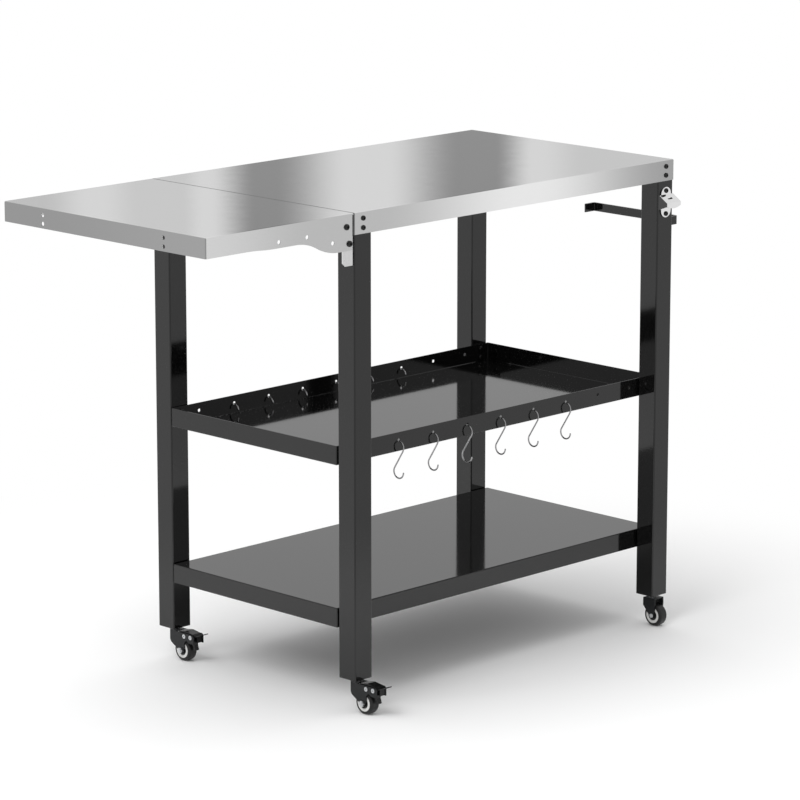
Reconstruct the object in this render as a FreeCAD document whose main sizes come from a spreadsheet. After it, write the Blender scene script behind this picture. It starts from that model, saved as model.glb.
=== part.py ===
import FreeCAD, Part
import math
import os
import Sketcher

# Folding outdoor work table on casters, in millimetres.
#
# X runs along the long front side, Y from the front to the back and Z up.  The origin lies on the
# floor under the middle of the whole table.  Places are first worked out from the front left corner
# of the main worktop, and place() moves them to the origin.

Vector = FreeCAD.Vector
Rotation = FreeCAD.Rotation

DRIVING_SIZES = {
    # worktops
    "main_length": 800.0,
    "top_depth": 500.0,
    "overall_height": 860.0,
    "side_length": 330.0,
    "top_sheet": 1.2,
    "top_bend": 2.5,
    "main_apron": 37.0,
    "side_apron": 34.5,
    "side_ear": 61.5,
    "ear_crest": 37.0,
    "ear_plain_start": 240.0,
    "ear_crest_start": 180.0,
    "ear_rise_start": 132.0,
    "ear_full_start": 36.0,
    "seam_gap": 1.2,
    "ear_gap": 4.2,
    "tool_hole": 7.0,
    "tool_hole_outer": 170.0,
    "tool_hole_middle": 107.0,
    "tool_hole_inner": 49.0,
    "tool_hole_high": 27.0,
    "tool_hole_low": 44.5,
    "end_hole_pitch": 300.0,
    "end_hole_drop": 12.0,
    "end_hole_rise": 14.5,
    # legs
    "leg_width": 40.0,
    "leg_wall": 1.5,
    "leg_corner": 2.5,
    "caster_height": 58.0,
    "plug_depth": 26.0,
    "plug_slack": 0.25,
    # shelves
    "tray_rim": 459.5,
    "shelf_top": 178.0,
    "shelf_wall": 33.5,
    "shelf_sheet": 1.0,
    "shelf_bend": 2.0,
    "shelf_gap": 2.5,
    # fasteners
    "bolt_radius": 3.0,
    "bolt_length": 12.0,
    "bolt_head_radius": 5.25,
    "bolt_head_height": 3.2,
    "thread_slack": 0.05,
    "socket_flats": 4.0,
    "socket_depth": 1.8,
    "nut_flats": 10.0,
    "nut_height": 5.0,
    "washer_radius": 7.0,
    "bolt_pitch": 16.0,
    "top_bolt_drop": 11.0,
    # folding hinge
    "hinge_x": 11.0,
    "hinge_drop": 50.0,
    "lock_x": 17.2,
    "lock_drop": 21.5,
    "bracket_sheet": 2.0,
    "bracket_bend": 5.0,
    "bracket_reach": 25.2,
    "bracket_bottom": 87.4,
    "bracket_top": 12.5,
    "bracket_chamfer": 5.0,
    "bracket_bolt_rise": 14.0,
    "bracket_bolt_pitch": 22.4,
    "flange_depth": 25.7,
    "running_slack": 0.06,
    "side_play": 0.3,
    # screws of the frame, the bar and the opener
    "screw_radius": 2.5,
    "screw_slack": 0.3,
    "screw_length": 11.0,
    "screw_head_radius": 4.4,
    "screw_head_height": 2.8,
    "screw_socket_flats": 3.0,
    "screw_nut_flats": 8.0,
    "screw_nut_height": 4.0,
    # bottle opener
    "opener_width": 26.0,
    "opener_height": 54.7,
    "opener_drop": 75.3,
    "opener_pitch": 41.6,
    "opener_sheet": 2.0,
    "opener_reach": 21.0,
    "opener_lip": 37.0,
    "opener_lip_top": 1.5,
    "opener_lip_height": 6.0,
    "opener_lip_bulge": 4.2,
    "opener_root": 14.0,
    "opener_cheek_drop": 12.0,
    "opener_slot_length": 12.0,
    "opener_slot_width": 4.0,
    "opener_slot_out": 11.0,
    "opener_window_width": 16.0,
    # hanging bar
    "bar_height": 15.5,
    "bar_thick": 3.0,
    "bar_reach": 27.2,
    "bar_near": 12.0,
    "bar_far": 214.0,
    "bar_top_drop": 106.5,
    "bar_bend": 4.0,
    "bar_screw_start": 9.0,
    "bar_screw_pitch": 13.0,
    "bar_screw_margin": 6.5,
    "bar_tip_gap": 1.2,
    # hooks
    "hook_wire": 1.3,
    "hook_curl": 11.5,
    "hook_curl_distance": 42.5,
    "hook_hole": 3.0,
    "hook_hole_drop": 14.0,
    "hook_hole_start": 64.0,
    "hook_play": 0.4,
    # casters
    "wheel_radius": 20.0,
    "wheel_width": 19.0,
    "tyre_inner": 14.6,
    "tyre_shoulder": 4.0,
    "hub_ring_inner": 9.6,
    "hub_recess": 1.4,
    "hub_play": 0.6,
    "hub_collar": 2.2,
    "hub_ring_inset": 0.3,
    "axle_radius": 3.0,
    "axle_nut_flats": 9.5,
    "axle_nut_height": 3.6,
    "axle_head_height": 2.6,
    "axle_thread_end": 1.0,
    "axle_rivet_head": 4.0,
    "axle_rivet_head_height": 2.0,
    "yoke_sheet": 2.0,
    "yoke_boss": 7.0,
    "yoke_top": 5.5,
    "yoke_rear": 8.5,
    "plain_yoke_boss": 6.0,
    "plain_yoke_front": 7.6,
    "plain_yoke_shoulder": 37.0,
    "plain_yoke_front_shoulder": 40.0,
    "plain_yoke_corner": 3.0,
    "brake_yoke_rear": 0.5,
    "brake_yoke_shoulder": 32.5,
    "brake_yoke_corner": 9.0,
    "brake_yoke_bridge": 14.5,
    "brake_yoke_nose": 7.5,
    "brake_yoke_nose_bevel": 3.0,
    "brake_yoke_nose_bottom": 36.0,
    "brake_yoke_notch": 14.0,
    "brake_yoke_notch_side": 9.0,
    "brake_yoke_notch_rise": 15.0,
    "stem_pin": 4.0,
    "stem_thread": 4.0,
    "stem_head": 6.2,
    "stem_head_height": 2.0,
    "stem_collar": 8.0,
    "stem_hex_flats": 13.0,
    "stem_collar_height": 2.6,
    "plain_trail": 12.0,
    "brake_trail": 29.0,
    "brake_pivot_reach": 9.0,
    "brake_pivot_height": 47.0,
    "brake_stop_reach": 16.5,
    "brake_stop_height": 47.6,
    "rivet_radius": 2.0,
    "rivet_head": 3.8,
    "rivet_head_height": 1.2,
    "rivet_bore": 1.5,
    "rivet_bore_depth": 2.0,
    "pedal_reach": 77.0,
    "pedal_slack": 0.6,
    "pedal_skin": 1.8,
    "pedal_rear": 8.0,
    "pedal_crown": 3.6,
    "pedal_fall": 2.6,
    "pedal_slope_start": 20.0,
    "pedal_dip": 14.0,
    "pedal_dip_drop": 5.2,
    "pedal_depth": 9.0,
    "pedal_front": 17.0,
    "pedal_block": 25.0,
    "pedal_cheek": 17.0,
    "shoe_gap": 4.2,
    "shoe_foot": 22.5,
    "shoe_width": 8.5,
    "shoe_thick": 5.3,
    "shoe_waist": 2.8,
    "shoe_bump": 4.3,
    "shoe_knee": 38.1,
    "shoe_step": 5.0,
    "lip_front": 64.2,
    "lip_thick": 4.7,
    "lip_bottom": 38.5,
    "lip_width": 11.0,
}


class Measure:
    """A size that knows both its number and the expression over the sheet that gives it."""

    def __init__(self, number, text):
        self.number = float(number)
        self.text = text

    def combined(self, sign, other, swapped=False):
        other = measure(other)
        first, second = (other, self) if swapped else (self, other)
        text = "(" + first.text + " " + sign + " " + second.text + ")"
        if sign == "+":
            return Measure(first.number + second.number, text)
        if sign == "-":
            return Measure(first.number - second.number, text)
        if sign == "*":
            return Measure(first.number * second.number, text)
        return Measure(first.number / second.number, text)

    def __add__(self, other):
        return self.combined("+", other)

    def __radd__(self, other):
        return self.combined("+", other, swapped=True)

    def __sub__(self, other):
        return self.combined("-", other)

    def __rsub__(self, other):
        return self.combined("-", other, swapped=True)

    def __mul__(self, other):
        return self.combined("*", other)

    def __rmul__(self, other):
        return self.combined("*", other, swapped=True)

    def __truediv__(self, other):
        return self.combined("/", other)

    def __neg__(self):
        return self.combined("*", -1)


def measure(value):
    """Take a plain number or a Measure, and return a Measure."""
    if isinstance(value, Measure):
        return value
    return Measure(value, "(" + repr(float(value)) + ")")


def root(value):
    """The square root of a size."""
    value = measure(value)
    return Measure(math.sqrt(value.number), "sqrt(" + value.text + ")")


def size_sheet(document, sizes):
    """Write the driving sizes into a sheet, and return them as Measures by name."""
    sheet = document.addObject("Spreadsheet::Sheet", "Sizes")
    measures = {}
    for row, (name, number) in enumerate(sizes.items(), start=1):
        sheet.set("A" + str(row), name.replace("_", " "))
        sheet.set("B" + str(row), str(number))
        sheet.setAlias("B" + str(row), name)
        measures[name] = Measure(number, "Sizes." + name)
    return measures


doc = FreeCAD.newDocument("FoldingTable")
S = size_sheet(doc, DRIVING_SIZES)
doc.recompute()


class Names:
    """The driving sizes as attributes, so that a size reads as D.leg_width."""

    def __init__(self, measures):
        self.__dict__.update(measures)


D = Names(S)

# Two places closer than this are one place, also where the solver leaves a trace of error
TOUCHING = 1e-6
# Rounding of a domed head as a share of its height, and of a wire's end as a share of its radius
HEAD_ROUNDING = 0.75
WIRE_END_ROUNDING = 0.6
# How far a cut reaches past the sheet that it trims, and a drill's depth in sheet thicknesses
SPARE = 2.0
CUT_THROUGH = 3
# Corners of the pedal round the wheel, as shares of a reach forward of the axle
CHEEK_CORNERS = (1.0, 0.8, 0.4, 0.0)
SHOE_CORNERS = (0.93, 0.78)

# Places that several pieces share
TABLE_TOP = D.overall_height
LEG_SET_IN = D.top_sheet
LEG_CENTRE = LEG_SET_IN + D.leg_width / 2
LEG_TOP = TABLE_TOP - D.top_bend
LEG_BOTTOM = D.caster_height
LEG_X = {"left": LEG_CENTRE, "right": D.main_length - LEG_CENTRE}
LEG_Y = {"front": LEG_CENTRE, "back": D.top_depth - LEG_CENTRE}
SHELF_FRONT = LEG_SET_IN + D.leg_width + D.shelf_gap
SHELF_DEPTH = D.top_depth - 2 * SHELF_FRONT
TRAY_BOTTOM = D.tray_rim - D.shelf_wall
LOWER_BOTTOM = D.shelf_top - D.shelf_wall
SCREW_HOLE = D.screw_radius + D.screw_slack
HINGE_X = -D.hinge_x
HINGE_Z = TABLE_TOP - D.hinge_drop
LOCK_X = -D.lock_x
LOCK_Z = TABLE_TOP - D.lock_drop
BAR_OUTER_X = D.main_length - LEG_SET_IN + D.bar_reach
OPENER_Z = TABLE_TOP - D.opener_drop
BAR_Z = TABLE_TOP - D.bar_top_drop - D.bar_height / 2

# The origin under the middle of the whole table
CENTRE_X = (BAR_OUTER_X - D.side_length) / 2
BACK_REACH = D.top_depth + D.side_play + D.bolt_head_height
FRONT_REACH = D.pedal_reach - LEG_CENTRE
CENTRE_Y = (BACK_REACH - FRONT_REACH) / 2

parts = []


def bind(thing, path, value):
    """Bind one property of an object to a size."""
    thing.setExpression(path, measure(value).text)


def place(thing, x=0, y=0, z=0, rotation=None, path="Placement"):
    """Set a piece down at a place given from the worktop's front left corner on the floor."""
    if rotation is not None:
        setattr(thing, path, FreeCAD.Placement(Vector(), rotation))
    bind(thing, path + ".Base.x", x - CENTRE_X)
    bind(thing, path + ".Base.y", y - CENTRE_Y)
    bind(thing, path + ".Base.z", z)


def new_body(name, is_part=True):
    body = doc.addObject("PartDesign::Body", name)
    body.Label = name
    if is_part:
        parts.append(body)
    return body


def new_sketch(body, plane_role, height=0):
    """A sketch on one of the body's own planes, moved along that plane's normal."""
    sketch = body.newObject("Sketcher::SketchObject", "Sketch")
    planes = [plane for plane in body.Origin.OriginFeatures if plane.Role == plane_role]
    sketch.AttachmentSupport = [(planes[0], "")]
    sketch.MapMode = "FlatFace"
    bind(sketch, "AttachmentOffset.Base.z", height)
    return sketch


def fix_point(sketch, geometry, point, x, y):
    """Hold one point of a sketch at a place given by two sizes."""
    for kind, value in (("DistanceX", measure(x)), ("DistanceY", measure(y))):
        index = sketch.addConstraint(
            Sketcher.Constraint(kind, -1, 1, geometry, point, value.number)
        )
        sketch.setExpression("Constraints[" + str(index) + "]", value.text)


def add_polygon(sketch, points):
    """A closed outline of straight sides through points given as pairs of sizes."""
    corners = [Vector(measure(x).number, measure(y).number, 0) for x, y in points]
    count = len(corners)
    first = sketch.GeometryCount
    for index in range(count):
        side = Part.LineSegment(corners[index], corners[(index + 1) % count])
        sketch.addGeometry(side)
    for index in range(count):
        following = first + (index + 1) % count
        sketch.addConstraint(Sketcher.Constraint("Coincident", first + index, 2, following, 1))
    for index, (x, y) in enumerate(points):
        fix_point(sketch, first + index, 1, x, y)


def add_circle(sketch, x, y, radius):
    radius = measure(radius)
    centre = Vector(measure(x).number, measure(y).number, 0)
    circle = sketch.addGeometry(Part.Circle(centre, Vector(0, 0, 1), radius.number))
    fix_point(sketch, circle, 3, x, y)
    index = sketch.addConstraint(Sketcher.Constraint("Radius", circle, radius.number))
    sketch.setExpression("Constraints[" + str(index) + "]", radius.text)


def hexagon(flats, x=0, y=0):
    """Corners of a hexagon with two corners on the first axis."""
    half_flats = flats / 2
    corner = half_flats * (2 / math.sqrt(3))
    return [
        (x + corner, y),
        (x + corner / 2, y + half_flats),
        (x - corner / 2, y + half_flats),
        (x - corner, y),
        (x - corner / 2, y - half_flats),
        (x + corner / 2, y - half_flats),
    ]


def pad(body, sketch, length, midplane=False, reverse=False):
    feature = body.newObject("PartDesign::Pad", "Pad")
    feature.Profile = sketch
    feature.SideType = "Symmetric" if midplane else "One side"
    feature.Reversed = reverse
    bind(feature, "Length", length)
    return feature


def pocket(body, sketch, length=None, midplane=False, reverse=False):
    """Cut a sketch out of the body, to a depth or, without one, right through."""
    before = body.Shape.Volume
    feature = body.newObject("PartDesign::Pocket", "Pocket")
    feature.Profile = sketch
    feature.SideType = "Symmetric" if midplane else "One side"
    feature.Reversed = reverse
    if length is None:
        feature.Type = "ThroughAll"
    else:
        bind(feature, "Length", length)
    doc.recompute()
    if body.Shape.Volume >= before:
        raise RuntimeError("a pocket of " + body.Label + " cuts nothing")
    return feature


def revolve(body, sketch, axis):
    feature = body.newObject("PartDesign::Revolution", "Revolution")
    feature.Profile = sketch
    feature.ReferenceAxis = (sketch, [axis])
    feature.Angle = 360
    return feature


def dress_edges(body, kind, size, chooser):
    """Round or chamfer the edges that the chooser picks."""
    doc.recompute()
    base = body.Tip
    edges = [
        "Edge" + str(index)
        for index, edge in enumerate(body.Tip.Shape.Edges, start=1)
        if chooser(edge)
    ]
    feature = body.newObject("PartDesign::" + kind, kind)
    feature.Base = (base, edges)
    bind(feature, "Radius" if kind == "Fillet" else "Size", size)
    doc.recompute()
    return feature


def is_upright(edge):
    box = edge.BoundBox
    return box.ZLength > 1 and box.XLength < TOUCHING and box.YLength < TOUCHING


def lies_at(edge, height):
    """True for a level edge at this height of the piece's own frame."""
    box = edge.BoundBox
    return abs(box.ZMin - height) < TOUCHING and abs(box.ZMax - height) < TOUCHING


def group_of(name, prototype, stations):
    """One part made of separate copies of a fastener, each at its own place and direction."""
    links = []
    for x, y, z, direction in stations:
        link = doc.addObject("App::Link", name + "_copy")
        link.LinkedObject = prototype
        turn = Rotation(Vector(0, 0, -1), Vector(*direction))
        place(link, x, y, z, rotation=turn, path="LinkPlacement")
        links.append(link)
    group = doc.addObject("Part::Compound", name)
    group.Label = name
    group.Links = links
    parts.append(group)
    return group


TO_FRONT = (0, -1, 0)
TO_BACK = (0, 1, 0)
TO_LEFT = (-1, 0, 0)
TO_RIGHT = (1, 0, 0)
DOWN = (0, 0, -1)


# Sheet metal: the two worktops, the tray and the shelf


def folded_pan(name, length, depth, height, sheet, bend, opens_up=False, open_end=None):
    """A sheet folded into a pan, open at its top or bottom and, if asked, at its left or right end."""
    body = new_body(name)
    box = body.newObject("PartDesign::AdditiveBox", "Box")
    bind(box, "Length", length)
    bind(box, "Width", depth)
    bind(box, "Height", height)
    closed_height = 0 if opens_up else height.number
    open_height = height.number if opens_up else 0

    def at_open_end(box):
        if open_end == "right":
            return box.XMin > length.number - TOUCHING
        return open_end == "left" and box.XMax < TOUCHING

    def is_fold(edge):
        is_bent = is_upright(edge) or lies_at(edge, closed_height)
        return is_bent and not at_open_end(edge.BoundBox)

    rounded = dress_edges(body, "Fillet", bend, is_fold)
    open_faces = []
    for index, face in enumerate(rounded.Shape.Faces, start=1):
        box = face.BoundBox
        is_open_side = abs(box.ZMin - open_height) + abs(box.ZMax - open_height) < TOUCHING
        if is_open_side or at_open_end(box):
            open_faces.append("Face" + str(index))
    hollow = body.newObject("PartDesign::Thickness", "Hollow")
    hollow.Base = (rounded, open_faces)
    hollow.Reversed = True
    bind(hollow, "Value", sheet)
    doc.recompute()
    return body


def bolt_rows(top_height):
    """Heights of the two bolts that hold a fold to a leg, below the fold's first bolt height."""
    return [top_height, top_height - D.bolt_pitch]


TOP_BOLT_HEIGHTS = bolt_rows(TABLE_TOP - D.top_bolt_drop)
TRAY_BOLT_HEIGHTS = bolt_rows(D.tray_rim - (D.shelf_wall - D.bolt_pitch) / 2)
LOWER_BOLT_HEIGHTS = bolt_rows(D.shelf_top - (D.shelf_wall - D.bolt_pitch) / 2)


def drill_front_and_back(body, holes):
    """Drill round holes, given as place and radius, right through from front to back."""
    sketch = new_sketch(body, "XZ_Plane")
    for x, z, radius in holes:
        add_circle(sketch, x, z, radius)
    return pocket(body, sketch)


def make_main_top():
    body = folded_pan(
        "main_top",
        D.main_length,
        D.top_depth,
        D.main_apron,
        D.top_sheet,
        D.top_bend,
        open_end="left",
    )
    bottom = TABLE_TOP - D.main_apron
    drill_front_and_back(
        body, [(x, z - bottom, SCREW_HOLE) for x in LEG_X.values() for z in TOP_BOLT_HEIGHTS]
    )
    place(body, 0, 0, bottom)
    return body


def add_side(sketch, start, end):
    """One straight side with both its ends held."""
    corners = [Vector(measure(x).number, measure(y).number, 0) for x, y in (start, end)]
    line = sketch.addGeometry(Part.LineSegment(*corners))
    fix_point(sketch, line, 1, *start)
    fix_point(sketch, line, 2, *end)


def add_wave(sketch, high, low):
    """Two arcs that lead level out of a high point and level into a low one."""
    middle = ((high[0] + low[0]) / 2, (high[1] + low[1]) / 2)
    run = high[0].number - low[0].number
    fall = high[1].number - low[1].number
    radius = (run * run + fall * fall) / (4 * abs(fall))
    for end, centre_sign in ((high, -1), (low, 1)):
        centre = Vector(end[0].number, end[1].number + centre_sign * radius, 0)
        angles = [
            math.atan2(point[1].number - centre.y, point[0].number - centre.x)
            for point in (middle, end)
        ]
        turns_left = math.sin(angles[1] - angles[0]) > 0
        first, last = angles if turns_left else reversed(angles)
        circle = Part.Circle(centre, Vector(0, 0, 1), radius)
        arc = sketch.addGeometry(Part.ArcOfCircle(circle, first, last))
        fix_point(sketch, arc, 1 if turns_left else 2, *middle)
        fix_point(sketch, arc, 2 if turns_left else 1, *end)
        index = sketch.addConstraint(
            Sketcher.Constraint("DistanceX", -1, 1, arc, 3, end[0].number)
        )
        sketch.setExpression("Constraints[" + str(index) + "]", measure(end[0]).text)


def make_side_shelf():
    """The folding side shelf, whose front and back folds drop into an ear beside the legs."""
    height = D.side_ear + SPARE
    body = folded_pan(
        "side_shelf",
        D.side_length - D.seam_gap,
        D.top_depth,
        height,
        D.top_sheet,
        D.top_bend,
        open_end="right",
    )

    def across(distance):
        return D.side_length - distance

    def up(drop):
        return height - drop

    outline = new_sketch(body, "XZ_Plane")
    plain = (across(D.ear_plain_start), up(D.side_apron))
    crest_start = (across(D.ear_crest_start), up(D.ear_crest))
    crest_end = (across(D.ear_rise_start), up(D.ear_crest))
    full = (across(D.ear_full_start), up(D.side_ear))
    slot_top = up(D.top_bend)
    ear_end = across(D.ear_gap)
    beyond = across(-SPARE)
    below = measure(-SPARE)
    outside = measure(-SPARE)
    add_side(outline, (outside, below), (outside, plain[1]))
    add_side(outline, (outside, plain[1]), plain)
    add_wave(outline, plain, crest_start)
    add_side(outline, crest_start, crest_end)
    add_wave(outline, crest_end, full)
    add_side(outline, full, (ear_end, full[1]))
    add_side(outline, (ear_end, full[1]), (ear_end, slot_top))
    add_side(outline, (ear_end, slot_top), (beyond, slot_top))
    add_side(outline, (beyond, slot_top), (beyond, below))
    add_side(outline, (beyond, below), (outside, below))
    pocket(body, outline)

    tool_radius = D.tool_hole / 2
    drill_front_and_back(
        body,
        [
            (across(D.tool_hole_outer), up(D.tool_hole_high), tool_radius),
            (across(D.tool_hole_middle), up(D.tool_hole_high), tool_radius),
            (across(D.tool_hole_inner), up(D.tool_hole_low), tool_radius),
            (across(D.hinge_x), up(D.hinge_drop), D.bolt_radius + D.running_slack),
            (across(D.lock_x), up(D.lock_drop), D.bolt_radius + D.thread_slack),
        ],
    )
    end_holes = new_sketch(body, "YZ_Plane", D.side_length / 2)
    for side in (-1, 1):
        for drop in (D.end_hole_drop, D.end_hole_drop + D.end_hole_rise):
            add_circle(
                end_holes, D.top_depth / 2 + side * D.end_hole_pitch / 2, up(drop), tool_radius
            )
    pocket(body, end_holes)
    place(body, -D.side_length, 0, TABLE_TOP - height)
    return body


def shelf_holes(bottom, heights):
    return [(x, z - bottom, SCREW_HOLE) for x in LEG_X.values() for z in heights]


HOOK_HOLE_Z = D.tray_rim - D.hook_hole_drop
HOOK_HOLE_COUNT = 9
HOOK_HOLE_PITCH = (D.main_length - 2 * D.hook_hole_start) / (HOOK_HOLE_COUNT - 1)
HOOKED_HOLES = range(1, 7)


def hook_hole_x(index):
    return D.hook_hole_start + index * HOOK_HOLE_PITCH


def make_middle_tray():
    body = folded_pan(
        "middle_tray",
        D.main_length,
        SHELF_DEPTH,
        D.shelf_wall,
        D.shelf_sheet,
        D.shelf_bend,
        opens_up=True,
    )
    holes = shelf_holes(TRAY_BOTTOM, TRAY_BOLT_HEIGHTS)
    for index in range(HOOK_HOLE_COUNT):
        holes.append((hook_hole_x(index), HOOK_HOLE_Z - TRAY_BOTTOM, D.hook_hole))
    drill_front_and_back(body, holes)
    place(body, 0, SHELF_FRONT, TRAY_BOTTOM)
    return body


def make_lower_shelf():
    body = folded_pan(
        "lower_shelf", D.main_length, SHELF_DEPTH, D.shelf_wall, D.shelf_sheet, D.shelf_bend
    )
    drill_front_and_back(body, shelf_holes(LOWER_BOTTOM, LOWER_BOLT_HEIGHTS))
    place(body, 0, SHELF_FRONT, LOWER_BOTTOM)
    return body


# Legs


BRACKET_BOTTOM_Z = TABLE_TOP - D.bracket_bottom
BRACKET_BOLT_Y = LEG_CENTRE
BRACKET_LOW_BOLT_Z = BRACKET_BOTTOM_Z + D.bracket_bolt_rise
BRACKET_BOLT_HEIGHTS = [BRACKET_LOW_BOLT_Z, BRACKET_LOW_BOLT_Z + D.bracket_bolt_pitch]
OPENER_HEIGHTS = [OPENER_Z - D.opener_pitch / 2, OPENER_Z + D.opener_pitch / 2]
BAR_FIRST_SCREW_Y = D.bar_near + D.bar_screw_start
BAR_SCREW_Y = [BAR_FIRST_SCREW_Y, BAR_FIRST_SCREW_Y + D.bar_screw_pitch]


def make_leg(end, side):
    """A square tube, drilled only where something is bolted to it."""
    body = new_body("leg_" + end + "_" + side)
    half = D.leg_width / 2
    outline = new_sketch(body, "XY_Plane")
    add_polygon(outline, [(-half, -half), (half, -half), (half, half), (-half, half)])
    pad(body, outline, LEG_TOP - LEG_BOTTOM)
    rounded = dress_edges(body, "Fillet", D.leg_corner, is_upright)
    ends = [
        "Face" + str(index)
        for index, face in enumerate(rounded.Shape.Faces, start=1)
        if face.BoundBox.ZLength < TOUCHING
    ]
    tube = body.newObject("PartDesign::Thickness", "Tube")
    tube.Base = (rounded, ends)
    tube.Reversed = True
    bind(tube, "Value", D.leg_wall)
    doc.recompute()

    def drill(plane, holes, towards_positive):
        sketch = new_sketch(body, plane)
        for across, z, radius in holes:
            add_circle(sketch, across, z - LEG_BOTTOM, radius)
        # a cut runs against its plane's normal, which is -Y for XZ_Plane and +X for YZ_Plane
        runs_positive = plane == "XZ_Plane"
        pocket(body, sketch, reverse=towards_positive != runs_positive)

    is_front = end == "front"
    outer_holes = [(0, z, SCREW_HOLE) for z in TOP_BOLT_HEIGHTS]
    if is_front and side == "right":
        outer_holes += [(0, z, SCREW_HOLE) for z in OPENER_HEIGHTS]
    drill("XZ_Plane", outer_holes, towards_positive=not is_front)
    inner_holes = [(0, z, SCREW_HOLE) for z in TRAY_BOLT_HEIGHTS + LOWER_BOLT_HEIGHTS]
    drill("XZ_Plane", inner_holes, towards_positive=is_front)
    if side == "left":
        drill("YZ_Plane", [(0, z, SCREW_HOLE) for z in BRACKET_BOLT_HEIGHTS], False)
    elif is_front:
        bar_holes = [(y - LEG_CENTRE, BAR_Z, SCREW_HOLE) for y in BAR_SCREW_Y]
        drill("YZ_Plane", bar_holes, True)
    place(body, LEG_X[side], LEG_Y[end], LEG_BOTTOM)
    return body


def make_plug():
    """The square plug in a leg's foot that takes a caster's stem."""
    body = new_body("plug_pattern", is_part=False)
    half = D.leg_width / 2 - D.leg_wall - D.plug_slack
    outline = new_sketch(body, "XY_Plane")
    add_polygon(outline, [(-half, -half), (half, -half), (half, half), (-half, half)])
    add_circle(outline, 0, 0, D.stem_thread + D.thread_slack)
    pad(body, outline, D.plug_depth)
    dress_edges(body, "Fillet", D.leg_corner - D.leg_wall, is_upright)
    return body


# Fasteners


def make_bolt(name, radius, length, head_radius, head_height, socket_flats, socket_depth):
    """A button head bolt with its head above the origin and its shank below it."""
    body = new_body(name, is_part=False)
    head = new_sketch(body, "XY_Plane")
    add_circle(head, 0, 0, head_radius)
    pad(body, head, head_height)
    dress_edges(
        body, "Fillet", head_height * HEAD_ROUNDING, lambda edge: lies_at(edge, head_height.number)
    )
    shank = new_sketch(body, "XY_Plane")
    add_circle(shank, 0, 0, radius)
    pad(body, shank, length, reverse=True)
    doc.recompute()
    socket = new_sketch(body, "XY_Plane", head_height)
    add_polygon(socket, hexagon(socket_flats))
    pocket(body, socket, socket_depth)
    return body


def make_nut(name, flats, height, bore):
    """A hexagon nut that stands on the origin and reaches down from it."""
    body = new_body(name, is_part=False)
    outline = new_sketch(body, "XY_Plane")
    add_polygon(outline, hexagon(flats))
    add_circle(outline, 0, 0, bore)
    pad(body, outline, height, reverse=True)
    return body


def make_washer():
    """A round spacer between a leg and a shelf, which reaches down from the origin."""
    body = new_body("washer_pattern", is_part=False)
    outline = new_sketch(body, "XY_Plane")
    add_circle(outline, 0, 0, D.washer_radius)
    add_circle(outline, 0, 0, SCREW_HOLE)
    pad(body, outline, D.shelf_gap, reverse=True)
    return body


def top_stations(depth_from_face):
    """Bolt places on the front and back folds of the main worktop, this far in from their faces."""
    for x in LEG_X.values():
        for z in TOP_BOLT_HEIGHTS:
            yield x, depth_from_face, z, TO_BACK
            yield x, D.top_depth - depth_from_face, z, TO_FRONT


def shelf_stations(out_from_wall):
    """Bolt places on the shelves' long walls, this far out from their inner faces."""
    inner_face = SHELF_FRONT + D.shelf_sheet
    for x in LEG_X.values():
        for z in TRAY_BOLT_HEIGHTS + LOWER_BOLT_HEIGHTS:
            yield x, inner_face - out_from_wall, z, TO_FRONT
            yield x, D.top_depth - inner_face + out_from_wall, z, TO_BACK


def bracket_stations(depth_from_flange):
    """Bolt places on the flanges that lie against the left legs."""
    face = LEG_SET_IN - D.bracket_sheet
    for y in LEG_Y.values():
        for z in BRACKET_BOLT_HEIGHTS:
            yield face + depth_from_flange, y, z, TO_RIGHT


def hinge_stations(x, z, depth_from_face):
    """Places on the front and back folds of the side shelf, this far in from their faces."""
    yield x, depth_from_face, z, TO_BACK
    yield x, D.top_depth - depth_from_face, z, TO_FRONT


def opener_stations(depth_from_plate):
    face = LEG_SET_IN - D.opener_sheet
    for z in OPENER_HEIGHTS:
        yield LEG_X["right"], face + depth_from_plate, z, TO_BACK


def bar_stations(depth_from_flange):
    face = D.main_length - LEG_SET_IN + D.bar_thick
    for y in BAR_SCREW_Y:
        yield face - depth_from_flange, y, BAR_Z, TO_LEFT


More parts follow.
